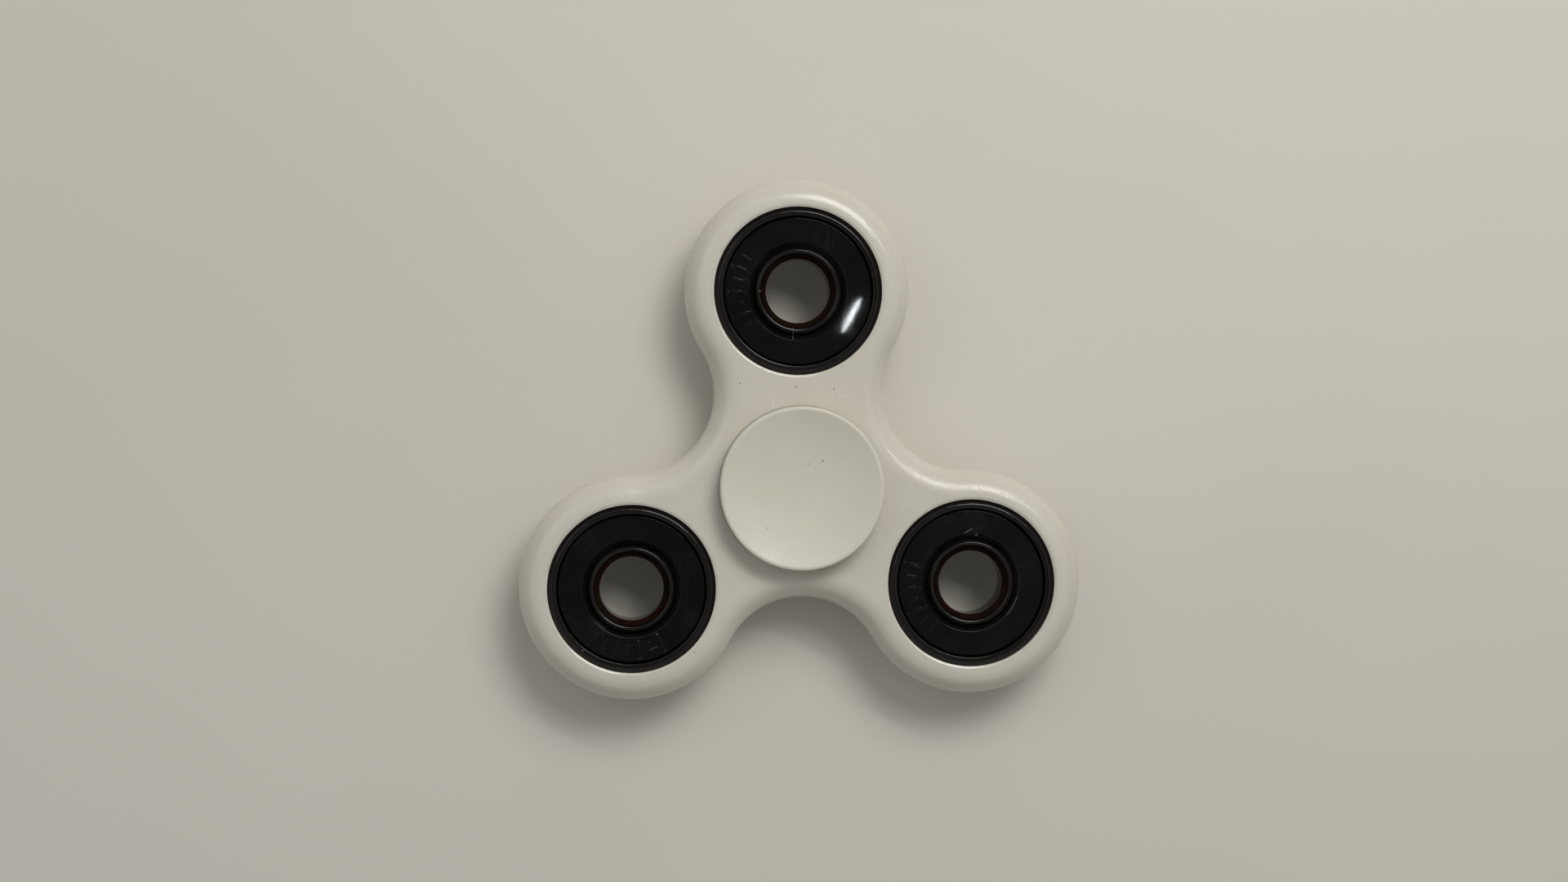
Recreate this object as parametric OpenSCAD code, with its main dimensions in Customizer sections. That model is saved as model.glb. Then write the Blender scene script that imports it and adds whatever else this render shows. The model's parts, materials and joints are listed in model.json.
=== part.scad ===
// Three-lobed hand spinner. A moulded frame turns on a small shielded ball bearing,
// held between two finger caps, and carries a ring weight in each lobe.
// Origin: centre of the bearing, on the spin axis at mid thickness.
// +Z runs along the spin axis, out through the front cap. The first lobe points along +Y.

/* [Frame] */
// Distance between the spin axis and the centre of each weight
arm_spacing = 25.8; // [25:0.1:27]
// Outer radius of each lobe
lobe_r = 14.8; // [14.7:0.1:16]
// Distance between the spin axis and the middle of each waist
waist_r = 14.5; // [14:0.1:16]
// Rounding of the frame's outer edges, which makes its sides all but fully round
edge_r = 3.4; // [1:0.1:3.4]
// Bevel at the mouth of each seat
seat_bevel = 0.2; // [0.1:0.05:0.4]

/* [Finger caps] */
// Radius of each finger cap
cap_r = 10.7; // [9:0.1:10.8]
// Height of the cap's rim above the frame's front face
cap_rise = 3; // [2.6:0.1:4]
// Gap between a cap and the frame
cap_gap = 0.6; // [0.4:0.1:0.8]
// Depth of the finger dish in a cap
dish_depth = 1.6; // [0.4:0.1:1.8]
// Width of the flat rim round the finger dish
cap_rim_w = 0.2; // [0.1:0.1:1]
// Rounding of the cap's outer edge
cap_edge_r = 0.4; // [0.2:0.1:0.5]

/* [Weights] */
// Radius of the hole through each weight
bore_r = 4.2; // [3.8:0.1:4.4]
// Depth of the lid below the rim of its weight
lid_recess = 0.6; // [0.3:0.1:0.9]
// Directions from each weight's centre to the middle of its row of raised bars
bar_middles = [180, 265, 195]; // [0:5:355]
// Number of raised bars on a lid
bar_count = 7; // [1:1:12]

/* [Hidden] */
$fn = 128;

// Three lobes, 120 degrees apart, with a waist opposite each one
lobe_count = 3;
lobe_angle = 360 / lobe_count;
first_lobe = 90;

// Half thickness of the frame, and how far a cut runs past a face
half_t = 3.5;
cut_past = 1;

// A standard ball bearing, 8 x 19 x 6 mm, with seven balls of 1/8 inch
race_out_r = 9.5;
race_bore_r = 4;
race_half_t = 3;
ball_count = 7;
ball_r = 3.175 / 2;
pitch_r = 6.75;
groove_r = 1.65;
outer_land_r = 7.85;
inner_land_r = 5.65;
shield_seat_r = 8.35;
shield_seat_z = 2.3;
race_bevel = 0.3;
shield_in_r = 5.85;
shield_out_r = 8.25;
shield_z = 2.4;
shield_t = 0.25;
shield_lip = 0.35;
cage_in_r = 6.15;
cage_out_r = 7.4;
cage_low_z = -2.1;
cage_high_z = 0.75;
pocket_r = 1.66;

// The valley between two lobes is an arc that meets both lobes without a corner
valley_r = (pow(arm_spacing, 2) + pow(waist_r, 2) - arm_spacing * waist_r - pow(lobe_r, 2))
    / (2 * (lobe_r - waist_r) + arm_spacing);
valley_spacing = waist_r + valley_r;
// Direction from a lobe's centre to the next valley's centre, for a lobe on +X
valley_turn = atan2(valley_spacing * sin(lobe_angle / 2),
                    valley_spacing * cos(lobe_angle / 2) - arm_spacing);
// Steps along each lobe, along each valley, at each end of a valley and over the rounded edge
lobe_steps = 40;
valley_steps = 16;
valley_ends = 3;
edge_steps = 6;
hub_seat_gap = 0.02;
weight_seat_gap = 0.04;

// Section of a weight: a cup with a tube through it, a lid and a steel ring
weight_r = 10.98;
rim_z = 3.45;
rim_in_r = 9.85;
rim_round_out = 0.4;
rim_round_in = 0.25;
tube_r = 5.7;
tube_z = 3.2;
tube_bevel = 0.3;
mouth_r = 5.05;
mouth_depth = 1.1;
face_z = rim_z - lid_recess;
wall_t = 1;
floor_z = -face_z + wall_t;
vee_in_r = 5.85;
vee_out_r = 6.5;
vee_depth = 0.6;
lid_r = 9.8;
lid_bevel = 0.3;
ring_in_r = 6;
ring_gap = 0.05;
ring_bevel = 0.3;

// Raised bars on a lid
bar_r = 8;
bar_step = 11;
bar_l = 1.5;
bar_w = 0.45;
bar_h = 0.12;

// Caps, stems and the pin that joins them
cap_top_z = half_t + cap_rise;
cap_low_z = half_t + cap_gap;
cap_low_bevel = 0.3;
dish_r = cap_r - cap_edge_r - cap_rim_w;
dish_sphere_r = (pow(dish_r, 2) + pow(dish_depth, 2)) / (2 * dish_depth);
shoulder_r = 5.3;
stem_r = 3.985;
stem_gap = 0.05;
pin_r = 2;
pin_end_z = -2.4;
pin_bevel = 0.3;
socket_r = 2.02;
socket_end_z = -2.7;

// Points along an arc, from angle a to angle b
function arc(x, y, r, a, b, steps = 8) =
    [for (i = [0:steps]) let (t = a + (b - a) * i / steps) [x + r * cos(t), y + r * sin(t)]];
function mirrored(points) =
    [for (i = [len(points) - 1:-1:0]) [points[i][0], -points[i][1]]];

module at_lobe(n) {
    turn = first_lobe + lobe_angle * (n - 1);
    translate([arm_spacing * cos(turn), arm_spacing * sin(turn), 0]) children();
}

// ---- Frame ----

// Directions of lobe i and of the valley after it
function lobe_dir(i) = first_lobe + lobe_angle * i;
function valley_dir(i) = lobe_dir(i) + lobe_angle / 2;

// The frame's outline, moved inwards by inset: for each lobe its arc, then the arc of the valley
// after it without the two points that the lobes have already
function lobe_arc(i, inset) =
    arc(arm_spacing * cos(lobe_dir(i)), arm_spacing * sin(lobe_dir(i)), lobe_r - inset,
        lobe_dir(i) - valley_turn, lobe_dir(i) + valley_turn, lobe_steps);
function valley_arc(i, inset) =
    let (back = valley_dir(i) + 180, half = valley_turn - lobe_angle / 2,
         points = arc(valley_spacing * cos(valley_dir(i)), valley_spacing * sin(valley_dir(i)),
                      valley_r + inset, back + half, back - half, valley_steps))
    [for (k = [1:valley_steps - 1]) points[k]];
function outline(inset) =
    [for (i = [0:lobe_count - 1]) each concat(lobe_arc(i, inset), valley_arc(i, inset))];

// Inset and height of each level of the rounded edge, from the rear face to the front face
edge_front = [for (k = [0:edge_steps]) let (t = 90 * k / edge_steps)
    [edge_r * (1 - cos(t)), half_t - edge_r + edge_r * sin(t)]];
edge_levels = concat(mirrored(edge_front), edge_front);

// Rounded slab with the frame's outline, closed at both faces by fans of triangles round the
// spin axis and round each lobe's centre
module slab() {
    per_lobe = lobe_steps + valley_steps;
    n = lobe_count * per_lobe;
    rings = len(edge_levels);
    rear_hub = rings * n;
    front_hub = rear_hub + lobe_count + 1;
    hub_points = [for (z = [-half_t, half_t]) each concat([[0, 0, z]],
        [for (i = [0:lobe_count - 1]) [arm_spacing * cos(lobe_dir(i)),
                                       arm_spacing * sin(lobe_dir(i)), z]])];
    ring_points = [for (level = edge_levels) each
        [for (p = outline(level[0])) [p[0], p[1], level[1]]]];
    walls = [for (k = [0:rings - 2]) for (j = [0:n - 1]) let (next = (j + 1) % n)
        each [[k * n + j, (k + 1) * n + next, k * n + next],
              [k * n + j, (k + 1) * n + j, (k + 1) * n + next]]];
    // Triangles of one face seen from outside, anticlockwise, with ring points starting at start.
    // Each lobe's centre also serves the ends of the valleys beside it, which the hub can't see.
    function fan(start, hub) = [for (i = [0:lobe_count - 1])
        let (first = i * per_lobe, lobe = hub + 1 + i, next_lobe = hub + 1 + (i + 1) % lobe_count,
             last = first + lobe_steps + valley_ends, after = first + per_lobe - valley_ends)
        each concat(
            [for (j = [first - valley_ends:last - 1])
                [lobe, start + (j + n) % n, start + (j + 1 + n) % n]],
            [[hub, lobe, start + last]],
            [for (j = [last:after - 1]) [hub, start + j, start + j + 1]],
            [[hub, start + after, next_lobe]])];
    front = [for (t = fan((rings - 1) * n, front_hub)) [t[2], t[1], t[0]]];
    polyhedron(points = concat(ring_points, hub_points),
               faces = concat(walls, fan(0, rear_hub), front));
}

module seat(r) {
    cylinder(r = r, h = 2 * (half_t + cut_past), center = true);
    for (s = [0, 1]) mirror([0, 0, s]) translate([0, 0, half_t - seat_bevel])
        cylinder(r1 = r, r2 = r + 2 * seat_bevel, h = 2 * seat_bevel);
}

module frame() {
    color("ivory") difference() {
        slab();
        seat(race_out_r + hub_seat_gap);
        for (n = [1:lobe_count]) at_lobe(n) seat(weight_r + weight_seat_gap);
    }
}

// ---- Weights ----

// Upper half of the rim, from its outer wall over the crown to its inner wall
rim_half = concat(
    arc(weight_r - rim_round_out, rim_z - rim_round_out, rim_round_out, 0, 90),
    arc(rim_in_r + rim_round_in, rim_z - rim_round_in, rim_round_in, 90, 180));
// Upper end of the bore tube, from its outer wall into the bore
tube_half = [[tube_r, tube_z - tube_bevel], [tube_r - tube_bevel, tube_z], [mouth_r, tube_z],
             [bore_r, tube_z - mouth_depth]];
// Rear face of the cup between tube and rim, with a groove at each side
rear_face = [[tube_r, -face_z + vee_depth], [vee_in_r, -face_z + vee_depth],
             [vee_out_r, -face_z], [lid_r - lid_bevel, -face_z], [lid_r, -face_z + lid_bevel],
             [rim_in_r, -face_z + lid_bevel]];

module weight_cup() {
    color("#141414") rotate_extrude() polygon(concat(
        rim_half, [[rim_in_r, floor_z], [tube_r, floor_z]], tube_half,
        mirrored(tube_half), rear_face, mirrored(rim_half)));
}

module weight_lid(bar_middle) {
    inner_r = tube_r + ring_gap;
    color("#1a1a1a") {
        rotate_extrude() polygon([
            [inner_r, face_z - wall_t], [lid_r, face_z - wall_t], [lid_r, face_z - lid_bevel],
            [lid_r - lid_bevel, face_z], [vee_out_r, face_z], [inner_r, face_z - vee_depth]]);
        for (i = [0:bar_count - 1])
            rotate([0, 0, bar_middle + bar_step * (i - (bar_count - 1) / 2)])
                translate([bar_r, 0, face_z])
                    cube([bar_l, bar_w, 2 * bar_h], center = true);
    }
}

module weight_ring() {
    out_r = rim_in_r - ring_gap;
    top_z = face_z - wall_t - ring_gap;
    half = [[out_r, top_z - ring_bevel], [out_r - ring_bevel, top_z],
            [ring_in_r + ring_bevel, top_z], [ring_in_r, top_z - ring_bevel]];
    color("silver") rotate_extrude() polygon(concat(half, mirrored(half)));
}

// ---- Bearing ----

module groove_cut() {
    translate([pitch_r, 0]) circle(r = groove_r);
}

module bearing_outer_race() {
    half = [[race_out_r, race_half_t - race_bevel], [race_out_r - race_bevel, race_half_t],
            [shield_seat_r, race_half_t], [shield_seat_r, shield_seat_z],
            [outer_land_r, shield_seat_z]];
    color("lightsteelblue") rotate_extrude() difference() {
        polygon(concat(half, mirrored(half)));
        groove_cut();
    }
}

module bearing_inner_race() {
    half = [[inner_land_r, race_half_t - race_bevel], [inner_land_r - race_bevel, race_half_t],
            [race_bore_r + race_bevel, race_half_t], [race_bore_r, race_half_t - race_bevel]];
    color("lightsteelblue") rotate_extrude() difference() {
        polygon(concat(half, mirrored(half)));
        groove_cut();
    }
}

module bearing_shield() {
    lip_in_r = shield_out_r - shield_t;
    color("gainsboro") rotate_extrude() polygon([
        [shield_in_r, shield_z], [shield_out_r, shield_z], [shield_out_r, shield_z + shield_lip],
        [lip_in_r, shield_z + shield_lip], [lip_in_r, shield_z + shield_t],
        [shield_in_r, shield_z + shield_t]]);
}

module at_ball(n) {
    turn = first_lobe + 360 / ball_count * (n - 1);
    translate([pitch_r * cos(turn), pitch_r * sin(turn), 0]) children();
}

module bearing_cage() {
    color("goldenrod") difference() {
        rotate_extrude() translate([cage_in_r, cage_low_z])
            square([cage_out_r - cage_in_r, cage_high_z - cage_low_z]);
        for (n = [1:ball_count]) at_ball(n) sphere(r = pocket_r);
    }
}

module ball() {
    color("silver") sphere(r = ball_r);
}

// ---- Finger caps ----

// Dished disc with the shoulder that bears on the inner race
module cap_disc() {
    difference() {
        rotate_extrude() polygon(concat(
            [[0, race_half_t], [shoulder_r, race_half_t], [shoulder_r, cap_low_z],
             [cap_r - cap_low_bevel, cap_low_z], [cap_r, cap_low_z + cap_low_bevel]],
            arc(cap_r - cap_edge_r, cap_top_z - cap_edge_r, cap_edge_r, 0, 90),
            [[0, cap_top_z]]));
        translate([0, 0, cap_top_z - dish_depth + dish_sphere_r]) sphere(r = dish_sphere_r);
    }
}

module front_cap() {
    color("ivory") union() {
        cap_disc();
        translate([0, 0, stem_gap]) cylinder(r = stem_r, h = race_half_t);
        rotate_extrude() polygon([
            [0, pin_end_z], [pin_r - pin_bevel, pin_end_z], [pin_r, pin_end_z + pin_bevel],
            [pin_r, race_half_t], [0, race_half_t]]);
    }
}

module rear_cap() {
    color("ivory") difference() {
        union() {
            mirror([0, 0, 1]) cap_disc();
            translate([0, 0, -race_half_t - stem_gap]) cylinder(r = stem_r, h = race_half_t);
        }
        translate([0, 0, socket_end_z]) cylinder(r = socket_r, h = cut_past - socket_end_z);
    }
}

frame();
at_lobe(1) weight_cup();  // weight_cup_1
at_lobe(2) weight_cup();  // weight_cup_2
at_lobe(3) weight_cup();  // weight_cup_3
at_lobe(1) weight_lid(bar_middles[0]);  // weight_lid_1
at_lobe(2) weight_lid(bar_middles[1]);  // weight_lid_2
at_lobe(3) weight_lid(bar_middles[2]);  // weight_lid_3
at_lobe(1) weight_ring();  // weight_ring_1
at_lobe(2) weight_ring();  // weight_ring_2
at_lobe(3) weight_ring();  // weight_ring_3
bearing_outer_race();
bearing_inner_race();
bearing_shield();  // bearing_front_shield
mirror([0, 0, 1]) bearing_shield();  // bearing_rear_shield
bearing_cage();
at_ball(1) ball();  // ball_1
at_ball(2) ball();  // ball_2
at_ball(3) ball();  // ball_3
at_ball(4) ball();  // ball_4
at_ball(5) ball();  // ball_5
at_ball(6) ball();  // ball_6
at_ball(7) ball();  // ball_7
front_cap();
rear_cap();
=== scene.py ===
"""Looks of a three-lobed hand spinner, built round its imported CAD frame.

The ivory frame, the finger caps and the black ring weights get fine meshes that stand for their
CAD nodes. The ball bearing and the steel rings inside the weights stay as CAD and get materials.
Lengths in the tables below are in millimetres, and mm() turns them into metres.
"""
import json
import math

import bmesh
import bpy
from mathutils import Matrix, Vector


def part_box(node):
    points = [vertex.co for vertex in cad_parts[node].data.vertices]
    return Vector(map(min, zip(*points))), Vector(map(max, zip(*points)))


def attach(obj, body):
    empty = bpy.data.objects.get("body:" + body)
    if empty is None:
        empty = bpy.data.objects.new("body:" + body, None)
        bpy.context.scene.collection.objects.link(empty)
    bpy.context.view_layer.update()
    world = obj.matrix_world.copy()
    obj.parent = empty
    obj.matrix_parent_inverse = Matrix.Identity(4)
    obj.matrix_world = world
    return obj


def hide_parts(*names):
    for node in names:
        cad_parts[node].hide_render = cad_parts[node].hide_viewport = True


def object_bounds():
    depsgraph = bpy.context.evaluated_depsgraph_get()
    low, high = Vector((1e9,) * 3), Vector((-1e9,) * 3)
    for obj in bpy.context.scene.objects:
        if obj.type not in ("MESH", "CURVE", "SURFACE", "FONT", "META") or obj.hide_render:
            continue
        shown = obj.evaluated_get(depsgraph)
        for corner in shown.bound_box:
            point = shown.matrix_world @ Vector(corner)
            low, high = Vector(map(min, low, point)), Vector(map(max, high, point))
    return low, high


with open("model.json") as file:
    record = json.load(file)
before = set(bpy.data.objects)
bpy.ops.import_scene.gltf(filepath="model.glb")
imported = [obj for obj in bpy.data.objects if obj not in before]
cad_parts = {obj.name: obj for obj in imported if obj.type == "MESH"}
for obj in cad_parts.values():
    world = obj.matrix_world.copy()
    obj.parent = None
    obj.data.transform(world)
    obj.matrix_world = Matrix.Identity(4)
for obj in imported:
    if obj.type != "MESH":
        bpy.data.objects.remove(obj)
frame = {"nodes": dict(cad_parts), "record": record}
cad_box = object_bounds()
record = frame["record"]
mounts = {mount["name"]: mount for mount in record["mounts"]}

MM = 0.001
LOBES = (1, 2, 3)
BALLS = range(1, 8)


def mm(length):
    return length * MM


def in_mm(length):
    return length / MM


# ---- Sizes from the CAD frame ----

frame_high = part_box("frame")[1]
half_t = in_mm(frame_high.z)
weight_at = [Vector(mounts[f"weight_bore_{n}"]["pos_m"]) for n in LOBES]
arm_spacing = in_mm(weight_at[0].length)
bore_r = mounts["weight_bore_1"]["dims"]["r_mm"]
lobe_r = in_mm(frame_high.y) - arm_spacing
cup_low, cup_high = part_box("weight_cup_1")
weight_r = in_mm(cup_high.x - cup_low.x) / 2
rim_z = in_mm(cup_high.z)
lid_low, lid_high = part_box("weight_lid_1")
lid_r = in_mm(lid_high.x - lid_low.x) / 2
cap_low, cap_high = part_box("front_cap")
cap_r = in_mm(cap_high.x)
cap_top_z = in_mm(cap_high.z)
pin_end_z = in_mm(cap_low.z)

# ---- Sizes in millimetres that the boxes don't give ----

WAIST_R = 14.5
EDGE_R = 3.4
HUB_SEAT_R = 9.52
WEIGHT_SEAT_R = 11.02
SEAT_BEVEL_W = 0.3
SEAT_BEVEL_H = 0.12
# Narrow strip of flat face beside each edge, which keeps the shading of the face flat
SUPPORT = 0.05
PARTING_W = 0.16
PARTING_H = 0.03

RIM_IN_R = 9.85
RIM_IN_DROP = 0.1
RIM_PEAK_R = 10.4
RIM_ROUND = 0.35
RIM_DROP = 0.6
TUBE_R = 5.7
TUBE_Z = 3.2
COLLAR_PEAK_R = 5.35
COLLAR_DROP = 0.4
MOUTH_R = 5.05
MOUTH_ROUND = 0.3
MOUTH_DROP = 0.05
MOUTH_DEPTH = 1.1
LID_RECESS = 0.6
LID_BEVEL = 0.3
WALL_T = 1.0
VEE_IN_R = 5.85
VEE_OUT_R = 6.5
VEE_DEPTH = 0.6
RING_GAP = 0.05

BAR_R = 8.0
BAR_STEP = 11.0
BAR_COUNT = 7
BAR_L = 1.5
BAR_W = 0.45
BAR_CROWN = 0.04
BAR_MIDDLES = (180, 265, 195)

CAP_EDGE_R = 0.3
CAP_RIM_W = 0.15
DISH_DEPTH = 1.6
CAP_GAP = 0.6
SHOULDER_R = 5.3
RACE_HALF_T = 3.0
STEM_R = 3.985
STEM_GAP = 0.05
PIN_R = 2.0
SOCKET_R = 2.02
SOCKET_END_Z = -2.7

# Roundings of the moulded corners
CRISP = 0.05
SOFT = 0.1
ROUND = 0.2

# Steps round a circle, round the frame's edge and across a finger dish
CIRCLE_STEPS = 180
EDGE_STEPS = 16
DISH_STEPS = 24
# Angle in degrees between two faces from which their edge stays sharp
CREASE = 30

face_z = rim_z - LID_RECESS
floor_z = -face_z + WALL_T
bar_h = in_mm(lid_high.z) - face_z


# ---- Mesh tools ----

def arc(x, y, r, start, end, steps):
    """Points along an arc, from one angle to another in degrees."""
    turns = [math.radians(start + (end - start) * i / steps) for i in range(steps + 1)]
    return [(x + r * math.cos(t), y + r * math.sin(t)) for t in turns]


def rounded(corners, steps=6):
    """Outline through (x, y, rounding) corners, with an arc at each corner that has a rounding."""
    points = []
    for i, (x, y, r) in enumerate(corners):
        here = Vector((x, y))
        if r == 0:
            points.append((x, y))
            continue
        back = (Vector(corners[i - 1][:2]) - here).normalized()
        ahead = (Vector(corners[(i + 1) % len(corners)][:2]) - here).normalized()
        half = back.angle(ahead) / 2
        middle = (back + ahead).normalized()
        centre = here + middle * (r / math.sin(half))
        first = here + back * (r / math.tan(half)) - centre
        last = here + ahead * (r / math.tan(half)) - centre
        sweep = first.angle_signed(last)
        for k in range(steps + 1):
            turned = first.copy()
            turned.rotate(Matrix.Rotation(-sweep * k / steps, 2))
            points.append(tuple(centre + turned))
    return points


def shade(mesh):
    """Smooth shading, with the corners over CREASE kept sharp."""
    mesh.shade_smooth()
    mesh.set_sharp_from_angle(angle=math.radians(CREASE))


def flatten(piece):
    """Keeps the shading of large faces flat up to the narrow roundings beside them."""
    piece.modifiers.new("Flat faces", "WEIGHTED_NORMAL").keep_sharp = True


def new_piece(name, bm, at=(0, 0, 0)):
    """Turns a bmesh in metres into a smooth-shaded piece."""
    bmesh.ops.recalc_face_normals(bm, faces=bm.faces)
    mesh = bpy.data.meshes.new(name)
    bm.to_mesh(mesh)
    bm.free()
    shade(mesh)
    piece = bpy.data.objects.new(name, mesh)
    piece.location = at
    bpy.context.scene.collection.objects.link(piece)
    flatten(piece)
    return piece


def ring_of(bm, points):
    return [bm.verts.new((mm(x), mm(y), mm(z))) for x, y, z in points]


def bridge(bm, lower, upper):
    """Quads between two closed rings of as many points."""
    for i in range(len(lower)):
        j = (i + 1) % len(lower)
        bm.faces.new((lower[i], lower[j], upper[j], upper[i]))


def circle(bm, r, z, x=0.0, y=0.0):
    turns = [2 * math.pi * i / CIRCLE_STEPS for i in range(CIRCLE_STEPS)]
    return ring_of(bm, [(x + r * math.cos(t), y + r * math.sin(t), z) for t in turns])


def lathe_mesh(profile):
    """Solid of revolution of a closed (r, z) profile. Points on the axis become poles."""
    bm = bmesh.new()
    rings = [circle(bm, r, z) if r > 0 else [bm.verts.new((0, 0, mm(z)))] for r, z in profile]
    for here, after in zip(rings, rings[1:] + rings[:1]):
        if len(here) > 1 and len(after) > 1:
            bridge(bm, here, after)
        elif len(here) + len(after) > 2:
            pole, rim = (here[0], after) if len(here) == 1 else (after[0], here)
            for i in range(CIRCLE_STEPS):
                bm.faces.new((pole, rim[i], rim[(i + 1) % CIRCLE_STEPS]))
    return bm


def mirrored(corners):
    """The corners seen in the plane z = 0, in reverse order, so that a profile can run on."""
    return [(r, -z, rounding) for r, z, rounding in reversed(corners)]


# ---- Frame ----

# The valley between two lobes is an arc that meets both lobes without a corner
valley_r = ((arm_spacing**2 + WAIST_R**2 - arm_spacing * WAIST_R - lobe_r**2)
            / (2 * (lobe_r - WAIST_R) + arm_spacing))
valley_spacing = WAIST_R + valley_r
valley_turn = math.degrees(math.atan2(valley_spacing * math.sin(math.radians(60)),
                                      valley_spacing * math.cos(math.radians(60)) - arm_spacing))


def outline(inset, lobe_steps=120, valley_steps=48):
    """The frame's outline moved inwards: for each lobe its arc, then the arc of the next valley."""
    points = []
    for lobe_dir in (90, 210, 330):
        turn = math.radians(lobe_dir)
        points += arc(arm_spacing * math.cos(turn), arm_spacing * math.sin(turn), lobe_r - inset,
                      lobe_dir - valley_turn, lobe_dir + valley_turn, lobe_steps)
        valley_dir = lobe_dir + 60
        turn = math.radians(valley_dir)
        half = valley_turn - 60
        valley = arc(valley_spacing * math.cos(turn), valley_spacing * math.sin(turn),
                     valley_r + inset, valley_dir + 180 + half, valley_dir + 180 - half,
                     valley_steps)
        points += valley[1:-1]
    return points


def make_frame():
    bm = bmesh.new()
    edge = [(EDGE_R - x, half_t - EDGE_R + y) for x, y in arc(0, 0, EDGE_R, 0, 90, EDGE_STEPS)]
    upper = [(-PARTING_H, PARTING_W / 4), (0, PARTING_W / 2)] + edge + [(EDGE_R + SUPPORT, half_t)]
    levels = [(inset, -z) for inset, z in reversed(upper)] + upper
    walls = [ring_of(bm, [(x, y, z) for x, y in outline(inset)]) for inset, z in levels]
    for lower, higher in zip(walls, walls[1:]):
        bridge(bm, lower, higher)
    mouths = [(walls[0], walls[-1])]
    seats = [(Vector((0, 0, 0)), HUB_SEAT_R)] + [(at, WEIGHT_SEAT_R) for at in weight_at]
    for at, seat_r in seats:
        half = rounded([(seat_r, 0, 0), (seat_r, half_t - SEAT_BEVEL_H, CRISP),
                        (seat_r + SEAT_BEVEL_W, half_t, SOFT),
                        (seat_r + SEAT_BEVEL_W + SUPPORT, half_t, 0)])
        seat = [(r, -z) for r, z in reversed(half)] + half[1:]
        rings = [circle(bm, r, z, in_mm(at.x), in_mm(at.y)) for r, z in seat]
        for lower, higher in zip(rings, rings[1:]):
            bridge(bm, lower, higher)
        mouths.append((rings[0], rings[-1]))
    for side in (0, 1):
        edges = []
        for mouth in mouths:
            ring = mouth[side]
            edges += [bm.edges.get((ring[i], ring[(i + 1) % len(ring)])) for i in range(len(ring))]
        bmesh.ops.triangle_fill(bm, use_beauty=True, use_dissolve=False, edges=edges)
    piece = new_piece("frame_shell", bm)
    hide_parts("frame")
    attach(piece, "rotor")
    return piece


# ---- Weights ----

def make_cup(n):
    """Cup of one weight, with the tube through it. Its rear face looks like the lid's front."""
    tube = [(TUBE_R, TUBE_Z - COLLAR_DROP, ROUND), (COLLAR_PEAK_R, TUBE_Z, ROUND),
            (MOUTH_R, TUBE_Z - MOUTH_DROP, MOUTH_ROUND), (bore_r, TUBE_Z - MOUTH_DEPTH, ROUND)]
    rim = [(weight_r, rim_z - RIM_DROP, ROUND), (RIM_PEAK_R, rim_z, RIM_ROUND),
           (RIM_IN_R, rim_z - RIM_IN_DROP, SOFT)]
    rear_face = [(TUBE_R, -face_z + VEE_DEPTH, CRISP), (VEE_IN_R, -face_z + VEE_DEPTH, CRISP),
                 (VEE_OUT_R, -face_z, CRISP), (lid_r - LID_BEVEL, -face_z, SOFT),
                 (lid_r, -face_z + LID_BEVEL, 0), (RIM_IN_R, -face_z + LID_BEVEL, 0)]
    profile = rounded(rim + [(RIM_IN_R, floor_z, SOFT), (TUBE_R, floor_z, SOFT)] + tube
                      + mirrored(tube) + rear_face + mirrored(rim))
    piece = new_piece(f"cup_{n}", lathe_mesh(profile), weight_at[n - 1])
    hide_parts(f"weight_cup_{n}")
    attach(piece, "rotor")
    return piece


def bar_outline(inset, steps=10):
    """Outline of a bar with round ends, moved inwards."""
    middle = (BAR_L - BAR_W) / 2
    r = BAR_W / 2 - inset
    return arc(middle, 0, r, -90, 90, steps) + arc(-middle, 0, r, 90, 270, steps)


def bar_mesh(bm, turn):
    """One raised bar with a softened top, sunk a little into the lid."""
    top_z = face_z + bar_h
    levels = [(0, face_z - bar_h)]
    levels += [(BAR_CROWN - x, top_z - BAR_CROWN + y) for x, y in arc(0, 0, BAR_CROWN, 0, 90, 3)]
    spin = Matrix.Rotation(math.radians(turn), 3, "Z")
    rings = [ring_of(bm, [spin @ Vector((BAR_R + x, y, z)) for x, y in bar_outline(inset)])
             for inset, z in levels]
    for lower, higher in zip(rings, rings[1:]):
        bridge(bm, lower, higher)
    bm.faces.new(rings[0])
    bm.faces.new(rings[-1])


def make_lid(n):
    """Ring lid of one weight, with a row of raised bars joined to its front face."""
    inner_r = TUBE_R + RING_GAP
    profile = rounded([(inner_r, face_z - WALL_T, 0), (lid_r, face_z - WALL_T, 0),
                       (lid_r, face_z - LID_BEVEL, CRISP), (lid_r - LID_BEVEL, face_z, SOFT),
                       (VEE_OUT_R, face_z, CRISP), (inner_r, face_z - VEE_DEPTH, 0)])
    piece = new_piece(f"lid_{n}", lathe_mesh(profile), weight_at[n - 1])
    bars = bmesh.new()
    for i in range(BAR_COUNT):
        bar_mesh(bars, BAR_MIDDLES[n - 1] + BAR_STEP * (i - (BAR_COUNT - 1) / 2))
    row = new_piece(f"bars_{n}", bars, weight_at[n - 1])
    join = piece.modifiers.new("Raised bars", "BOOLEAN")
    join.operation = "UNION"
    join.solver = "EXACT"
    join.object = row
    piece.modifiers.move(1, 0)
    bpy.context.view_layer.update()
    joined = bpy.data.meshes.new_from_object(
        piece.evaluated_get(bpy.context.evaluated_depsgraph_get()))
    piece.modifiers.clear()
    piece.data = joined
    bpy.data.objects.remove(row)
    joined.name = piece.name
    shade(joined)
    flatten(piece)
    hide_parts(f"weight_lid_{n}")
    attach(piece, "rotor")
    return piece


# ---- Finger caps ----

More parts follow.
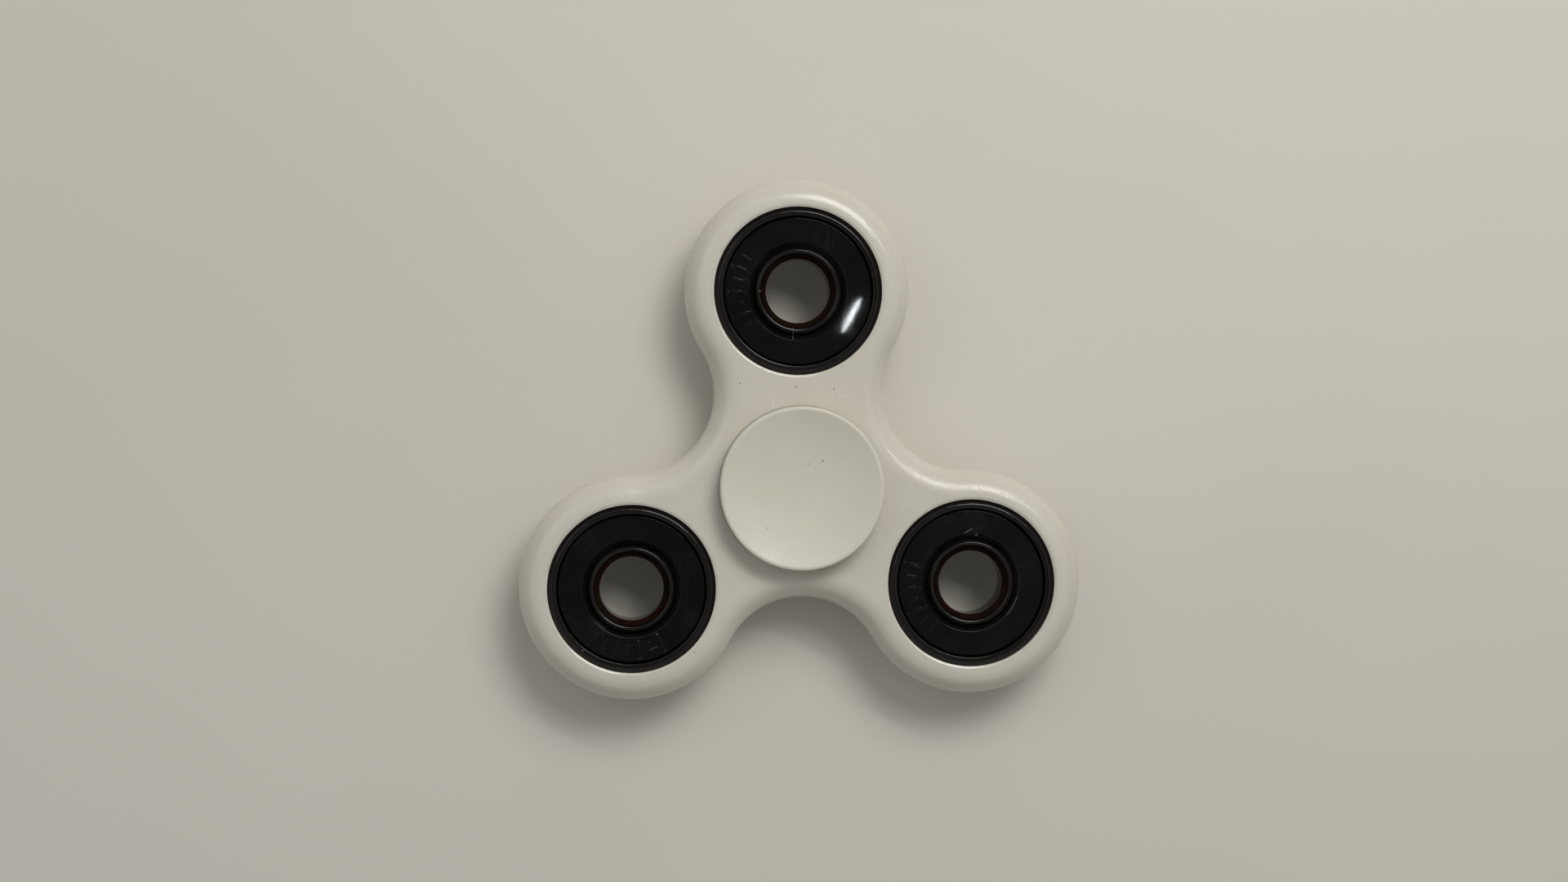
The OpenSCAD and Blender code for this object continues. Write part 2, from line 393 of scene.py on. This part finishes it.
def cap_shell():
    """Corners of a cap from the middle of its dish, over the rim and under it, to its shoulder."""
    dish_r = cap_r - CAP_EDGE_R - CAP_RIM_W
    sphere_r = (dish_r**2 + DISH_DEPTH**2) / (2 * DISH_DEPTH)
    dish = [(r, cap_top_z - DISH_DEPTH + sphere_r - math.sqrt(sphere_r**2 - r**2), 0)
            for r in (dish_r * i / DISH_STEPS for i in range(DISH_STEPS))]
    low_z = half_t + CAP_GAP
    return dish + [(dish_r, cap_top_z, ROUND), (cap_r, cap_top_z, CAP_EDGE_R),
                   (cap_r, low_z, CAP_EDGE_R), (SHOULDER_R, low_z, SOFT),
                   (SHOULDER_R, RACE_HALF_T, 0)]


def make_front_cap():
    profile = rounded(cap_shell() + [(STEM_R, RACE_HALF_T, SOFT), (STEM_R, STEM_GAP, SOFT),
                                     (PIN_R, STEM_GAP, SOFT), (PIN_R, pin_end_z, ROUND),
                                     (0, pin_end_z, 0)])
    piece = new_piece("front_cap_shell", lathe_mesh(profile))
    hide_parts("front_cap")
    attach(piece, "hub")
    return piece


def make_rear_cap():
    shell = [(r, -z, rounding) for r, z, rounding in cap_shell()]
    profile = rounded(shell + [(STEM_R, -RACE_HALF_T, SOFT), (STEM_R, -STEM_GAP, SOFT),
                               (SOCKET_R, -STEM_GAP, SOFT), (SOCKET_R, SOCKET_END_Z, 0),
                               (0, SOCKET_END_Z, 0)])
    piece = new_piece("rear_cap_shell", lathe_mesh(profile))
    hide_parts("rear_cap")
    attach(piece, "hub")
    return piece


# ---- Materials ----

# Most of the values of a noise texture lie between these two
NOISE_LOW = 0.32
NOISE_HIGH = 0.68
# Index of refraction of the plastics, and how much light enters the white ones and how far
PLASTIC_IOR = 1.53
BLACK_IOR = 1.5
SUBSURFACE = 0.12
SUBSURFACE_REACH = 1.0


class Shader:
    """A Principled material whose textures are measured in millimetres on the piece."""

    def __init__(self, name, shift=0.0):
        self.material = bpy.data.materials.new(name)
        self.material.use_nodes = True
        self.tree = self.material.node_tree
        self.bsdf = self.tree.nodes["Principled BSDF"]
        coords = self.add("ShaderNodeTexCoord").outputs["Object"]
        own = self.add("ShaderNodeMapping")
        own.inputs["Scale"].default_value = (1 / MM,) * 3
        self.link(coords, own.inputs["Vector"])
        self.own = own.outputs["Vector"]
        shifted = self.add("ShaderNodeVectorMath", operation="ADD")
        self.link(self.own, shifted.inputs[0])
        shifted.inputs[1].default_value = (shift, shift, shift)
        self.place = shifted.outputs["Vector"]

    def add(self, kind, **settings):
        made = self.tree.nodes.new(kind)
        for key, value in settings.items():
            setattr(made, key, value)
        return made

    def link(self, source, target):
        """Links a socket, or sets a plain value."""
        if isinstance(source, bpy.types.NodeSocket):
            self.tree.links.new(source, target)
        else:
            target.default_value = source

    def set(self, **values):
        """Sets the shader's own sockets: Base_Color stands for Base Color."""
        for key, value in values.items():
            self.link(value, self.bsdf.inputs[key.replace("_", " ")])

    def math(self, operation, a, b=0.0, clamp=False):
        made = self.add("ShaderNodeMath", operation=operation, use_clamp=clamp)
        self.link(a, made.inputs[0])
        self.link(b, made.inputs[1])
        return made.outputs[0]

    def step(self, value, low, high, to_low=0.0, to_high=1.0):
        """Smooth step from to_low to to_high while value goes from low to high."""
        made = self.add("ShaderNodeMapRange", interpolation_type="SMOOTHSTEP")
        for socket, source in zip(made.inputs, (value, low, high, to_low, to_high)):
            self.link(source, socket)
        return made.outputs[0]

    def blend(self, share, a, b):
        made = self.add("ShaderNodeMix", data_type="RGBA")
        self.link(share, made.inputs["Factor"])
        self.link((*a, 1) if isinstance(a, tuple) else a, made.inputs[6])
        self.link((*b, 1) if isinstance(b, tuple) else b, made.inputs[7])
        return made.outputs[2]

    def stretch(self, turn, along, across):
        """Coordinates stretched along a direction in the XY plane, for scratches and brushing."""
        made = self.add("ShaderNodeMapping", vector_type="TEXTURE")
        made.inputs["Rotation"].default_value = (0, 0, math.radians(turn))
        made.inputs["Scale"].default_value = (along, across, across)
        self.link(self.place, made.inputs["Vector"])
        return made.outputs["Vector"]

    def noise(self, size, detail=2.0, place=None):
        """Noise with lumps of a size in millimetres."""
        made = self.add("ShaderNodeTexNoise")
        self.link(self.place if place is None else place, made.inputs["Vector"])
        made.inputs["Scale"].default_value = 1 / size
        made.inputs["Detail"].default_value = detail
        return made.outputs["Fac"]

    def patches(self, size, to_low=0.0, to_high=1.0):
        """Soft-edged patches of a size in millimetres, between two levels."""
        return self.step(self.noise(size, 3.0), NOISE_LOW, NOISE_HIGH, to_low, to_high)

    def over(self, colour, mark, strength, paint):
        """Paints a mark over a colour."""
        return self.blend(self.math("MULTIPLY", mark, strength), colour, paint)

    def specks(self, spacing, radius, share):
        """Round specks: one in a cell of that spacing, in that share of the cells."""
        cells = self.add("ShaderNodeTexVoronoi")
        self.link(self.place, cells.inputs["Vector"])
        cells.inputs["Scale"].default_value = 1 / spacing
        chosen = self.add("ShaderNodeSeparateColor")
        self.link(cells.outputs["Color"], chosen.inputs["Color"])
        reach = radius / spacing
        near = self.step(cells.outputs["Distance"], reach * 0.5, reach, 1.0, 0.0)
        picked = self.math("LESS_THAN", chosen.outputs["Red"], share)
        return self.math("MULTIPLY", near, picked)

    def hairlines(self, turn, length, width, share):
        """Thin straight scratches along a direction, broken up so that a share of them shows.

        A scratch runs where stretched noise crosses its middle value.
        """
        place = self.stretch(turn, length, width * 8)
        wave = self.noise(1.0, 1.0, place)
        off_middle = self.math("ABSOLUTE", self.math("SUBTRACT", wave, 0.5))
        line = self.step(off_middle, 0.0, 0.035, 1.0, 0.0)
        patches = self.step(self.noise(length * 1.3, 2.0), 0.62 - share, 0.68 - share)
        return self.math("MULTIPLY", line, patches)

    def most(self, *values):
        total = values[0]
        for value in values[1:]:
            total = self.math("MAXIMUM", total, value)
        return total

    def bump(self, height, depth, normal=None):
        """Bump of a height map whose full range is a depth in millimetres."""
        made = self.add("ShaderNodeBump")
        made.inputs["Strength"].default_value = 1.0
        made.inputs["Distance"].default_value = mm(depth)
        self.link(height, made.inputs["Height"])
        if normal is not None:
            self.link(normal, made.inputs["Normal"])
        return made.outputs["Normal"]

    def parts(self, vector):
        made = self.add("ShaderNodeSeparateXYZ")
        self.link(vector, made.inputs[0])
        return made.outputs

    def axis_distance(self, x=0.0, y=0.0):
        """Distance in millimetres from an upright axis of the piece."""
        own = self.parts(self.own)
        dx = self.math("SUBTRACT", own["X"], x)
        dy = self.math("SUBTRACT", own["Y"], y)
        return self.math("SQRT", self.math("ADD", self.math("MULTIPLY", dx, dx),
                                           self.math("MULTIPLY", dy, dy)))

    def on_front(self, mark):
        return self.math("MULTIPLY", mark, self.step(self.parts(self.own)["Z"], 0.5, 1.0))

    def spot(self, x, y, radius):
        """A round mark on the front, at a place in millimetres."""
        return self.on_front(self.step(self.axis_distance(x, y), 0.4 * radius, radius, 1.0, 0.0))

    def stroke(self, start, end, width):
        """A straight mark on the front, between two places in millimetres."""
        start, end = Vector(start), Vector(end)
        turned = self.add("ShaderNodeMapping", vector_type="TEXTURE")
        turned.inputs["Location"].default_value = (*(start + end) / 2, 0)
        turned.inputs["Rotation"].default_value = (0, 0, math.atan2(*reversed(end - start)))
        self.link(self.own, turned.inputs["Vector"])
        place = self.parts(turned.outputs["Vector"])
        half = (end - start).length / 2
        along = self.step(self.math("ABSOLUTE", place["X"]), 0.6 * half, half, 1.0, 0.0)
        across = self.step(self.math("ABSOLUTE", place["Y"]), 0.0, width / 2, 1.0, 0.0)
        return self.on_front(self.math("MULTIPLY", along, across))


# Marks that the photograph shows, as (x, y, radius) spots and (start, end, width) strokes
FRAME_SPECKS = ((-0.5, 13.2, 0.17), (4.5, 12.9, 0.17), (-7.8, 13.8, 0.14))
# Painted highlights: glints on the frame, as (start, end, width) strokes in near-white
FRAME_GLINTS = (((-3.4, 11.6), (-3.4, 10.5), 0.2), ((5.0, 12.1), (6.6, 11.9), 0.16),
                ((5.6, 12.5), (6.4, 12.2), 0.12))
CAP_SPECKS = ((2.85, 3.55, 0.16), (2.65, 3.5, 0.1), (-4.6, -5.1, 0.1))
CAP_SMUDGE = (0.9, 3.1, 0.35)
WEIGHT_SCUFFS = {
    1: (((-0.72, -4.7), (-0.72, -6.5), 0.14), ((-5.2, 0.1), (-4.8, 0.0), 0.22)),
    2: (((2.0, -8.1), (3.4, -7.6), 0.08),),
    3: (((-0.88, 6.52), (0.42, 7.2), 0.16), ((0.65, 6.1), (0.95, 6.55), 0.22),
        ((0.55, 6.3), (1.1, 6.2), 0.12)),
}

# Linear RGB colours. Where there are two, they blend in soft patches
IVORY = ((0.78, 0.76, 0.69), (0.755, 0.728, 0.65))
CAP_WHITE = ((0.81, 0.795, 0.71), (0.79, 0.77, 0.675))
BLACK = ((0.0042, 0.004, 0.0037), (0.007, 0.0062, 0.0057))
# Painted red glow of light inside the weights' bores
BORE_RED_GLOW = (0.020, 0.0080, 0.005)
FLOOR_PALE = ((0.83, 0.80, 0.74), (0.80, 0.775, 0.715))
# Colour of the dirt and painted shade round the weights' seats
GRIME_AND_SHADE = (0.33, 0.27, 0.2)
HUB_SHADE = (0.25, 0.22, 0.19)
SPECK = (0.14, 0.115, 0.09)
SMUDGE = (0.35, 0.33, 0.29)
SCRATCH = (0.9, 0.88, 0.82)
# Near-white of the glints painted on the frame
GLINT_WHITE = (0.95, 0.94, 0.9)
DUST = (0.30, 0.29, 0.27)
GREY_SCUFF = (0.35, 0.34, 0.32)


def ivory_material():
    s = Shader("Ivory moulded plastic")
    colour = s.blend(s.patches(14.0), *IVORY)
    seat_r = WEIGHT_SEAT_R
    # Dirt and painted shade in a patchy ring round each weight's seat
    from_seats = [s.axis_distance(in_mm(at.x), in_mm(at.y)) for at in weight_at]
    near_seats = [s.step(r, seat_r + 0.1, seat_r + 0.7, 1.0, 0.0) for r in from_seats]
    seat_dirt_and_shade = s.math("MULTIPLY", s.most(*near_seats), s.patches(1.6))
    colour = s.over(colour, seat_dirt_and_shade, 0.12, GRIME_AND_SHADE)
    # Painted shade: a thin dark line on the frame round the cap's edge
    cap_line_shade = s.step(s.axis_distance(), cap_r + 0.05, cap_r + 0.2, 1.0, 0.0)
    colour = s.over(colour, cap_line_shade, 0.5, HUB_SHADE)
    specks = s.most(s.specks(spacing=5.0, radius=0.16, share=0.2),
                    s.specks(spacing=2.2, radius=0.07, share=0.12),
                    *[s.spot(*speck) for speck in FRAME_SPECKS])
    colour = s.over(colour, specks, 0.7, SPECK)
    scratches = s.most(s.hairlines(turn=25, length=9.0, width=0.05, share=0.05),
                       s.hairlines(turn=112, length=7.0, width=0.05, share=0.04),
                       s.hairlines(turn=67, length=12.0, width=0.04, share=0.04))
    colour = s.over(colour, scratches, 0.1, SCRATCH)
    # Painted highlight: glints on the frame as near-white strokes
    colour = s.over(colour, s.most(*[s.stroke(*stroke_mark) for stroke_mark in FRAME_GLINTS]), 0.8, GLINT_WHITE)
    rough = s.math("ADD", s.math("MULTIPLY", scratches, 0.2), s.patches(6.0, 0.13, 0.19))
    peel = s.bump(s.noise(0.7), depth=0.004)
    s.set(Base_Color=colour, Roughness=rough, Normal=s.bump(scratches, -0.006, peel),
          IOR=PLASTIC_IOR)
    s.set(Subsurface_Weight=SUBSURFACE, Subsurface_Scale=mm(SUBSURFACE_REACH),
          Subsurface_Radius=(1.0, 0.7, 0.45))
    return s.material


def cap_material():
    s = Shader("Off-white cap plastic", shift=31.0)
    colour = s.blend(s.patches(9.0), *CAP_WHITE)
    colour = s.over(colour, s.spot(*CAP_SMUDGE), 0.25, SMUDGE)
    specks = s.most(s.specks(spacing=3.5, radius=0.1, share=0.08),
                    *[s.spot(*speck) for speck in CAP_SPECKS])
    colour = s.over(colour, specks, 0.8, SPECK)
    scratches = s.most(s.hairlines(turn=80, length=5.0, width=0.04, share=0.1),
                       s.hairlines(turn=10, length=8.0, width=0.04, share=0.06))
    colour = s.over(colour, scratches, 0.22, SCRATCH)
    rough = s.math("ADD", s.math("MULTIPLY", scratches, 0.15), s.patches(4.0, 0.33, 0.43))
    peel = s.bump(s.noise(0.45), depth=0.004)
    s.set(Base_Color=colour, Roughness=rough, Normal=s.bump(scratches, -0.006, peel),
          IOR=PLASTIC_IOR)
    s.set(Subsurface_Weight=SUBSURFACE, Subsurface_Scale=mm(SUBSURFACE_REACH),
          Subsurface_Radius=(1.0, 0.75, 0.5))
    return s.material


def black_material(n):
    """Black plastic of one weight, with painted dark red light glowing inside its bore."""
    s = Shader(f"Black plastic {n}", shift=40.0 * n)
    colour = s.blend(s.patches(5.0), *BLACK)
    # Painted light: a dark red glow inside the bore
    painted_bore_glow = s.step(s.axis_distance(), bore_r + 0.4, bore_r + 0.7, 1.0, 0.0)
    colour = s.over(colour, painted_bore_glow, s.patches(1.5, 0.4, 1.0), BORE_RED_GLOW)
    dust = s.most(s.specks(spacing=1.6, radius=0.06, share=0.1),
                  s.specks(spacing=0.8, radius=0.035, share=0.08))
    colour = s.over(colour, dust, 0.3, DUST)
    scratches = s.most(s.hairlines(turn=35, length=7.0, width=0.03, share=0.04),
                       s.hairlines(turn=150, length=9.0, width=0.03, share=0.03),
                       s.hairlines(turn=95, length=5.0, width=0.03, share=0.03))
    colour = s.over(colour, scratches, 0.03, DUST)
    scuffs = s.most(*[s.stroke(*stroke_mark) for stroke_mark in WEIGHT_SCUFFS[n]])
    colour = s.over(colour, scuffs, 0.5, GREY_SCUFF)
    rough = s.math("ADD", s.math("MULTIPLY", s.most(scratches, dust), 0.12),
                   s.patches(3.0, 0.015, 0.03))
    peel = s.bump(s.noise(1.6), depth=0.0004)
    s.set(Base_Color=colour, Roughness=rough, Normal=s.bump(scratches, -0.003, peel),
          IOR=BLACK_IOR)
    return s.material


def steel_material(name, colour, rough, grain):
    """Turned or drawn steel, with grain lines of a length in millimetres."""
    s = Shader(name)
    shade = s.blend(s.patches(2.5), colour, tuple(0.8 * c for c in colour))
    turning = s.noise(1.0, place=s.stretch(turn=90, along=grain, across=0.08))
    s.set(Base_Color=shade, Metallic=1.0, Normal=s.bump(turning, depth=0.004),
          Roughness=s.math("ADD", s.math("MULTIPLY", turning, 0.15), rough))
    return s.material


def floor_material():
    s = Shader("Pale satin floor")
    s.set(Base_Color=s.blend(s.patches(90.0), *FLOOR_PALE), Roughness=0.45,
          Normal=s.bump(s.noise(0.6, 3.0), depth=0.01))
    return s.material


def paint(piece, material):
    piece.data.materials.clear()
    piece.data.materials.append(material)


def paint_cad(name, material):
    node = frame["nodes"][name]
    for i in range(max(1, len(node.material_slots))):
        if i < len(node.material_slots):
            node.material_slots[i].material = material
        else:
            node.data.materials.append(material)


# ---- Floor, lights and camera ----

# Half the width of the floor in metres
FLOOR_HALF = 3.0


def make_floor():
    bm = bmesh.new()
    bmesh.ops.create_grid(bm, x_segments=1, y_segments=1, size=FLOOR_HALF)
    mesh = bpy.data.meshes.new("floor")
    bm.to_mesh(mesh)
    bm.free()
    floor = bpy.data.objects.new("floor", mesh)
    floor.location.z = cad_box[0].z
    bpy.context.scene.collection.objects.link(floor)
    paint(floor, floor_material())


# Directions towards the lamps, and their distances in metres
KEY_TOWARDS = (0.308, 0.579, 0.755)
FILL_TOWARDS = (-0.663, 0.383, 0.643)
GLINT_TOWARDS = (51, 36, 503)
LAMP_DISTANCE = 0.6
GLINT_DISTANCE = 0.51
WARM_WHITE = (1.0, 0.97, 0.92)
WHITE = (1.0, 0.99, 0.97)
COOL_WHITE = (0.93, 0.97, 1.0)
# Colour of the room at heights between the horizon (0) and overhead (1)
ROOM_LIGHT = (
    (0.0, (0.04, 0.034, 0.028)),
    (0.25, (0.11, 0.096, 0.082)),
    (0.5, (0.36, 0.355, 0.345)),
    (0.75, (0.36, 0.355, 0.345)),
    (0.94, (0.22, 0.22, 0.21)),
    (0.98, (0.09, 0.09, 0.087)),
    (1.0, (0.06, 0.06, 0.058)),
)
# Strength of the room's light on the far side from the key and on the key's side
ROOM_STRENGTHS = (0.77, 1.22)


def make_lamp(name, towards, distance, size, power, colour, shape="RECTANGLE", turn=0):
    """Area lamp that shines on the spinner.

    Its distance and its size across and up are in metres, its power in watts, and its turn in
    its own plane in degrees.
    """
    data = bpy.data.lights.new(name, "AREA")
    data.shape = shape
    data.size, data.size_y = size
    data.energy = power
    data.color = colour
    lamp = bpy.data.objects.new(name, data)
    direction = Vector(towards).normalized()
    lamp.location = direction * distance
    facing = direction.to_track_quat("Z", "Y").to_matrix()
    lamp.rotation_euler = (facing @ Matrix.Rotation(math.radians(turn), 3, "Z")).to_euler()
    bpy.context.scene.collection.objects.link(lamp)


def make_lights():
    """A soft key with a long bright core, a weak fill, and a glint that the first lid mirrors."""
    make_lamp("key", KEY_TOWARDS, LAMP_DISTANCE,
              size=(0.27, 0.27), power=1.17, colour=WARM_WHITE)
    make_lamp("core", KEY_TOWARDS, LAMP_DISTANCE,
              size=(0.5, 0.035), power=0.48, colour=WARM_WHITE)
    make_lamp("fill", FILL_TOWARDS, LAMP_DISTANCE,
              size=(0.3, 0.3), power=0.15, colour=WHITE)
    make_lamp("glint", GLINT_TOWARDS, GLINT_DISTANCE,
              size=(0.013, 0.0018), power=0.0018, colour=COOL_WHITE, shape="ELLIPSE", turn=-64)


def make_room():
    """Soft room light, dim at the horizon and overhead, and brighter on the side of the key."""
    world = bpy.data.worlds.new("Soft room")
    bpy.context.scene.world = world
    world.use_nodes = True
    tree = world.node_tree
    towards = tree.nodes.new("ShaderNodeTexCoord").outputs["Generated"]
    parts = tree.nodes.new("ShaderNodeSeparateXYZ")
    tree.links.new(towards, parts.inputs[0])
    ramp = tree.nodes.new("ShaderNodeValToRGB")
    tree.links.new(parts.outputs["Z"], ramp.inputs["Fac"])
    ramp.color_ramp.interpolation = "EASE"
    stops = ramp.color_ramp.elements
    for i, (height, colour) in enumerate(ROOM_LIGHT):
        stop = stops[i] if i < 2 else stops.new(height)
        stop.position = height
        stop.color = (*colour, 1)
    side = tree.nodes.new("ShaderNodeVectorMath")
    side.operation = "DOT_PRODUCT"
    tree.links.new(towards, side.inputs[0])
    key_side = Vector((*KEY_TOWARDS[:2], 0))
    side.inputs[1].default_value = key_side
    level = tree.nodes.new("ShaderNodeMapRange")
    tree.links.new(side.outputs["Value"], level.inputs["Value"])
    level.inputs["From Min"].default_value = -key_side.length
    level.inputs["From Max"].default_value = key_side.length
    level.inputs["To Min"].default_value, level.inputs["To Max"].default_value = ROOM_STRENGTHS
    sky = tree.nodes["Background"]
    tree.links.new(ramp.outputs["Color"], sky.inputs["Color"])
    tree.links.new(level.outputs["Result"], sky.inputs["Strength"])


# Place and lean of the camera, from the three weight circles as the photograph shows them
CAMERA_AT = (-21.9, 13.5, 331.2)
LEAN_X, LEAN_Y, ROLL = 1.281, 3.450, 0.849
# Focal length in millimetres, for the sensor width that Blender starts with
LENS = 57.6


def make_camera():
    data = bpy.data.cameras.new("camera")
    data.lens = LENS
    data.clip_start = 0.01
    camera = bpy.data.objects.new("camera", data)
    camera.location = [mm(x) for x in CAMERA_AT]
    camera.rotation_mode = "ZYX"
    camera.rotation_euler = [math.radians(-turn) for turn in (LEAN_X, LEAN_Y, ROLL)]
    bpy.context.scene.collection.objects.link(camera)
    bpy.context.scene.camera = camera


# ---- Scene ----

make_camera()
make_room()
make_lights()
make_floor()
bpy.context.scene.view_settings.view_transform = "Standard"

paint(make_frame(), ivory_material())
cap_plastic = cap_material()
paint(make_front_cap(), cap_plastic)
paint(make_rear_cap(), cap_plastic)
for n in LOBES:
    black = black_material(n)
    paint(make_cup(n), black)
    paint(make_lid(n), black)

zinc = steel_material("Zinc plated steel", (0.45, 0.44, 0.42), rough=0.35, grain=2.0)
ground = steel_material("Ground bearing steel", (0.62, 0.62, 0.63), rough=0.22, grain=6.0)
pressed = steel_material("Pressed steel", (0.55, 0.55, 0.56), rough=0.3, grain=1.5)
polished = steel_material("Polished ball steel", (0.7, 0.7, 0.71), rough=0.08, grain=4.0)
for n in LOBES:
    paint_cad(f"weight_ring_{n}", zinc)
for name in ("bearing_outer_race", "bearing_inner_race"):
    paint_cad(name, ground)
for name in ("bearing_front_shield", "bearing_rear_shield", "bearing_cage"):
    paint_cad(name, pressed)
for n in BALLS:
    paint_cad(f"ball_{n}", polished)
